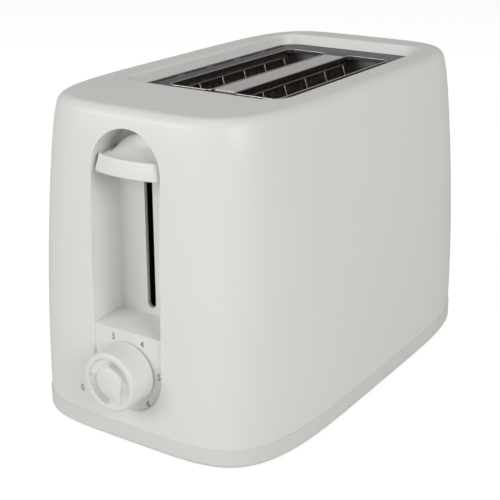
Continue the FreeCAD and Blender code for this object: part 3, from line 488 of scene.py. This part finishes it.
def dial_profile(face):
    """The drum's rings from the panel outwards: radius and distance from the panel."""
    foot = DIAL_FOOT + DIAL_GAP
    rings = [(DIAL_BASE_RADIUS, DIAL_GAP), (DIAL_BASE_RADIUS, foot)]
    for i in range(1, TAPER_STEPS + 1):
        share = i / TAPER_STEPS
        rings.append((DIAL_BASE_RADIUS + (DIAL_FACE_RADIUS - DIAL_BASE_RADIUS) * share,
                      foot + (face - DIAL_EDGE - foot) * share))
    for i in range(1, EDGE_STEPS + 1):
        turn = math.pi / 2 * i / EDGE_STEPS
        rings.append((DIAL_FACE_RADIUS - DIAL_EDGE * (1 - math.cos(turn)),
                      face - DIAL_EDGE * (1 - math.sin(turn))))
    return rings


def dial_point(middle, radius, turn, y):
    return middle.x + radius * math.sin(turn), y, middle.z + radius * math.cos(turn)


def make_dial(material):
    low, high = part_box("dial_knob")
    middle = (low + high) / 2
    panel = high.y + DIAL_GAP
    face = panel - low.y
    floor = face - GROOVE_DEPTH
    points = []
    side = dial_profile(face)
    for radius, depth in side:
        for k in range(DIAL_SPOKES):
            turn = 2 * math.pi * k / DIAL_SPOKES
            points.append(dial_point(middle, radius, turn, panel - depth))
    outer = DIAL_FACE_RADIUS - DIAL_EDGE
    for i in range(1, DIAL_RINGS):
        radius = outer * (1 - i / DIAL_RINGS)
        for k in range(DIAL_SPOKES):
            turn = 2 * math.pi * k / DIAL_SPOKES
            depth = floor + dial_relief(radius, turn)
            points.append(dial_point(middle, radius, turn, panel - depth))
    rings = len(side) + DIAL_RINGS - 1
    faces = tube_faces(rings - 1, DIAL_SPOKES)
    centre = len(points)
    points.append((middle.x, panel - face - DIAL_CROWN, middle.z))
    under = len(points)
    points.append((middle.x, panel - DIAL_GAP, middle.z))
    last = (rings - 1) * DIAL_SPOKES
    for k in range(DIAL_SPOKES):
        after = (k + 1) % DIAL_SPOKES
        faces.append((last + k, last + after, centre))
        faces.append((after, k, under))
    dial = mesh_piece("dial_cap", points, faces, material, "dial", 35)
    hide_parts("dial_knob")


# printed marks
DIGIT_SIZE = 5.3 * MM
DIGIT_RING = 20.6 * MM
INK_THICKNESS = 0.02 * MM
INK_LIFT = 0.03 * MM
ZERO_LEFT = 32.5 * MM
ZERO_BELOW = 18.5 * MM
DIGITS = (("1", -142.5), ("2", -85.5), ("3", -28.5), ("4", 28.5), ("5", 85.5), ("6", 142.0))


def front_of_shell(x, z):
    """Where the shell's front face is at a width and height."""
    shell = frame["nodes"]["outer_shell"]
    hit, place, normal, _ = shell.ray_cast(Vector((x, -1.0, z)), Vector((0, 1, 0)))
    if not hit:
        raise ValueError("the shell has no face there")
    return place, normal


def printed_mark(name, text, x, z, material):
    place, normal = front_of_shell(x, z)
    curve = bpy.data.curves.new(name, "FONT")
    curve.body = text
    curve.size = DIGIT_SIZE
    curve.align_x = "CENTER"
    curve.align_y = "CENTER"
    curve.extrude = INK_THICKNESS
    curve.materials.append(material)
    mark = bpy.data.objects.new(name, curve)
    bpy.context.scene.collection.objects.link(mark)
    right = Vector((0, 0, 1)).cross(normal).normalized()
    up = normal.cross(right).normalized()
    turn = Matrix((right, up, normal)).transposed().to_4x4()
    mark.matrix_world = Matrix.Translation(place + normal * INK_LIFT) @ turn
    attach(mark, "body")


def make_marks(material):
    low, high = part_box("dial_knob")
    middle = (low + high) / 2
    for text, degrees in DIGITS:
        turn = math.radians(degrees)
        x = middle.x + DIGIT_RING * math.sin(turn)
        z = middle.z + DIGIT_RING * math.cos(turn)
        printed_mark("mark_" + text, text, x, z, material)
    printed_mark("mark_0", "0", middle.x - ZERO_LEFT, middle.z - ZERO_BELOW, material)


# a painted highlight along the crest of the slots' lips, in a light copy of the plate's steel, and
# the rivets at the slots' rear ends
LIP_BAND = 0.35 * MM
LIP_CORNER = 3.6 * MM
CORNER_STEPS = 8
BAND_RINGS = 6
CREST_DEPTH = 0.02 * MM
RIVET_RADIUS = 1.5 * MM
RIVET_DOME = 0.8
RIVET_RIGHT = 5 * MM
RIVET_BELOW = 2.6 * MM
RIVET_SPOKES = 24
RIVET_RINGS = 6


def lip_box(side):
    """The low and high corner of the lip's crest around one slot."""
    plate = frame["nodes"]["top_plate"]
    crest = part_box("top_plate")[1].z - CREST_DEPTH
    spots = [plate.matrix_world @ v.co for v in plate.data.vertices]
    spots = [p for p in spots if p.z > crest and p.x * side > 0]
    xs = [p.x for p in spots]
    ys = [p.y for p in spots]
    return (min(xs), min(ys)), (max(xs), max(ys)), crest


def rounded_outline(low, high, radius):
    """Points around a rectangle with round corners."""
    corners = ((high[0], high[1]), (low[0], high[1]), (low[0], low[1]), (high[0], low[1]))
    outline = []
    for quarter, (x, y) in enumerate(corners):
        centre_x = x - math.copysign(radius, x - (low[0] + high[0]) / 2)
        centre_y = y - math.copysign(radius, y - (low[1] + high[1]) / 2)
        for k in range(CORNER_STEPS + 1):
            turn = math.pi / 2 * (quarter + k / CORNER_STEPS)
            outline.append((centre_x + radius * math.cos(turn), centre_y + radius * math.sin(turn)))
    return outline


def make_lip_highlight_band(name, side, material):
    """A thin half-round band on the crest of one slot's lip, in a light steel colour: a painted
    highlight.
    """
    low, high, crest = lip_box(side)
    points = []
    for k in range(BAND_RINGS):
        turn = math.pi * k / (BAND_RINGS - 1)
        inset = LIP_BAND * (1 - math.cos(turn))
        rise = LIP_BAND * math.sin(turn)
        ring = rounded_outline((low[0] + inset, low[1] + inset),
                               (high[0] - inset, high[1] - inset), LIP_CORNER - inset)
        points += [(x, y, crest + rise) for x, y in ring]
    count = len(ring)
    last = (BAND_RINGS - 1) * count
    faces = tube_faces(BAND_RINGS - 1, count)
    for k in range(count):
        after = (k + 1) % count
        faces.append((last + k, last + after, after, k))
    mesh_piece(name, points, faces, material, "body", 60)


def make_rivet(name, x, y, z, material):
    """A domed rivet head that looks forward."""
    points = []
    for i in range(RIVET_RINGS):
        turn = math.pi / 2 * i / RIVET_RINGS
        for k in range(RIVET_SPOKES):
            spin = 2 * math.pi * k / RIVET_SPOKES
            radius = RIVET_RADIUS * math.cos(turn)
            points.append((x + radius * math.cos(spin),
                           y - RIVET_DOME * RIVET_RADIUS * math.sin(turn),
                           z + radius * math.sin(spin)))
    faces = tube_faces(RIVET_RINGS - 1, RIVET_SPOKES)
    faces.append(tuple(reversed(range(RIVET_SPOKES))))
    faces.append(tuple((RIVET_RINGS - 1) * RIVET_SPOKES + k for k in range(RIVET_SPOKES)))
    mesh_piece(name, points, faces, material, "body", 60)


def make_slot_details(materials):
    rear_low, rear_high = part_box("rear_end_plate")
    for name, side in (("left", -1), ("right", 1)):
        # each band is a painted highlight on the lip's crest
        make_lip_highlight_band("lip_highlight_band_" + name, side, materials["lip_steel"])
        low, high, crest = lip_box(side)
        make_rivet("rivet_" + name, (low[0] + high[0]) / 2 + RIVET_RIGHT, rear_low.y,
                   min(rear_high.z, crest) - RIVET_BELOW, materials["rod_steel"])


# the spring that throws the carriage up
SPRING_TURNS = 15
SPRING_WIRE = 0.5 * MM
SPRING_STEPS = 24
SPRING_SIDES = 8


def make_spring(material):
    low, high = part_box("lift_spring")
    middle = (low + high) / 2
    radius = (high.x - low.x) / 2 - SPRING_WIRE
    steps = SPRING_TURNS * SPRING_STEPS
    points = []
    rise = high.z - low.z - 2 * SPRING_WIRE
    for i in range(steps + 1):
        turn = 2 * math.pi * i / SPRING_STEPS
        out = Vector((math.cos(turn), math.sin(turn), 0))
        height = low.z + SPRING_WIRE + rise * i / steps
        centre = Vector((middle.x, middle.y, height)) + out * radius
        for k in range(SPRING_SIDES):
            spin = 2 * math.pi * k / SPRING_SIDES
            offset = out * math.cos(spin) + Vector((0, 0, 1)) * math.sin(spin)
            points.append(centre + offset * SPRING_WIRE)
    faces = tube_faces(steps, SPRING_SIDES)
    faces.append(tuple(range(SPRING_SIDES)))
    faces.append(tuple(steps * SPRING_SIDES + k for k in range(SPRING_SIDES)))
    spring = mesh_piece("spring_coil", points, faces, material, None)
    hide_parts("lift_spring")
    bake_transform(spring)


def ink():
    """Grey print that has sunk a little into the plastic."""
    material = new_material("ink", (0.10, 0.10, 0.10), 0.6)
    grain = add(material, "ShaderNodeTexNoise")
    grain.inputs["Scale"].default_value = 3000.0
    link(material, place_node(material, (1, 1, 1)), "Vector", grain, "Vector")
    mixed_colour(material, grain, "Fac", (0.07, 0.07, 0.07), (0.14, 0.14, 0.135))
    return material


materials = make_materials()
dress_cad_nodes(materials)
make_lever(materials["lever_plastic"])
make_dial(materials["dial_plastic"])
make_marks(ink())
make_slot_details(materials)
make_spring(materials["spring_steel"])
make_floor()
make_lights()
make_camera()
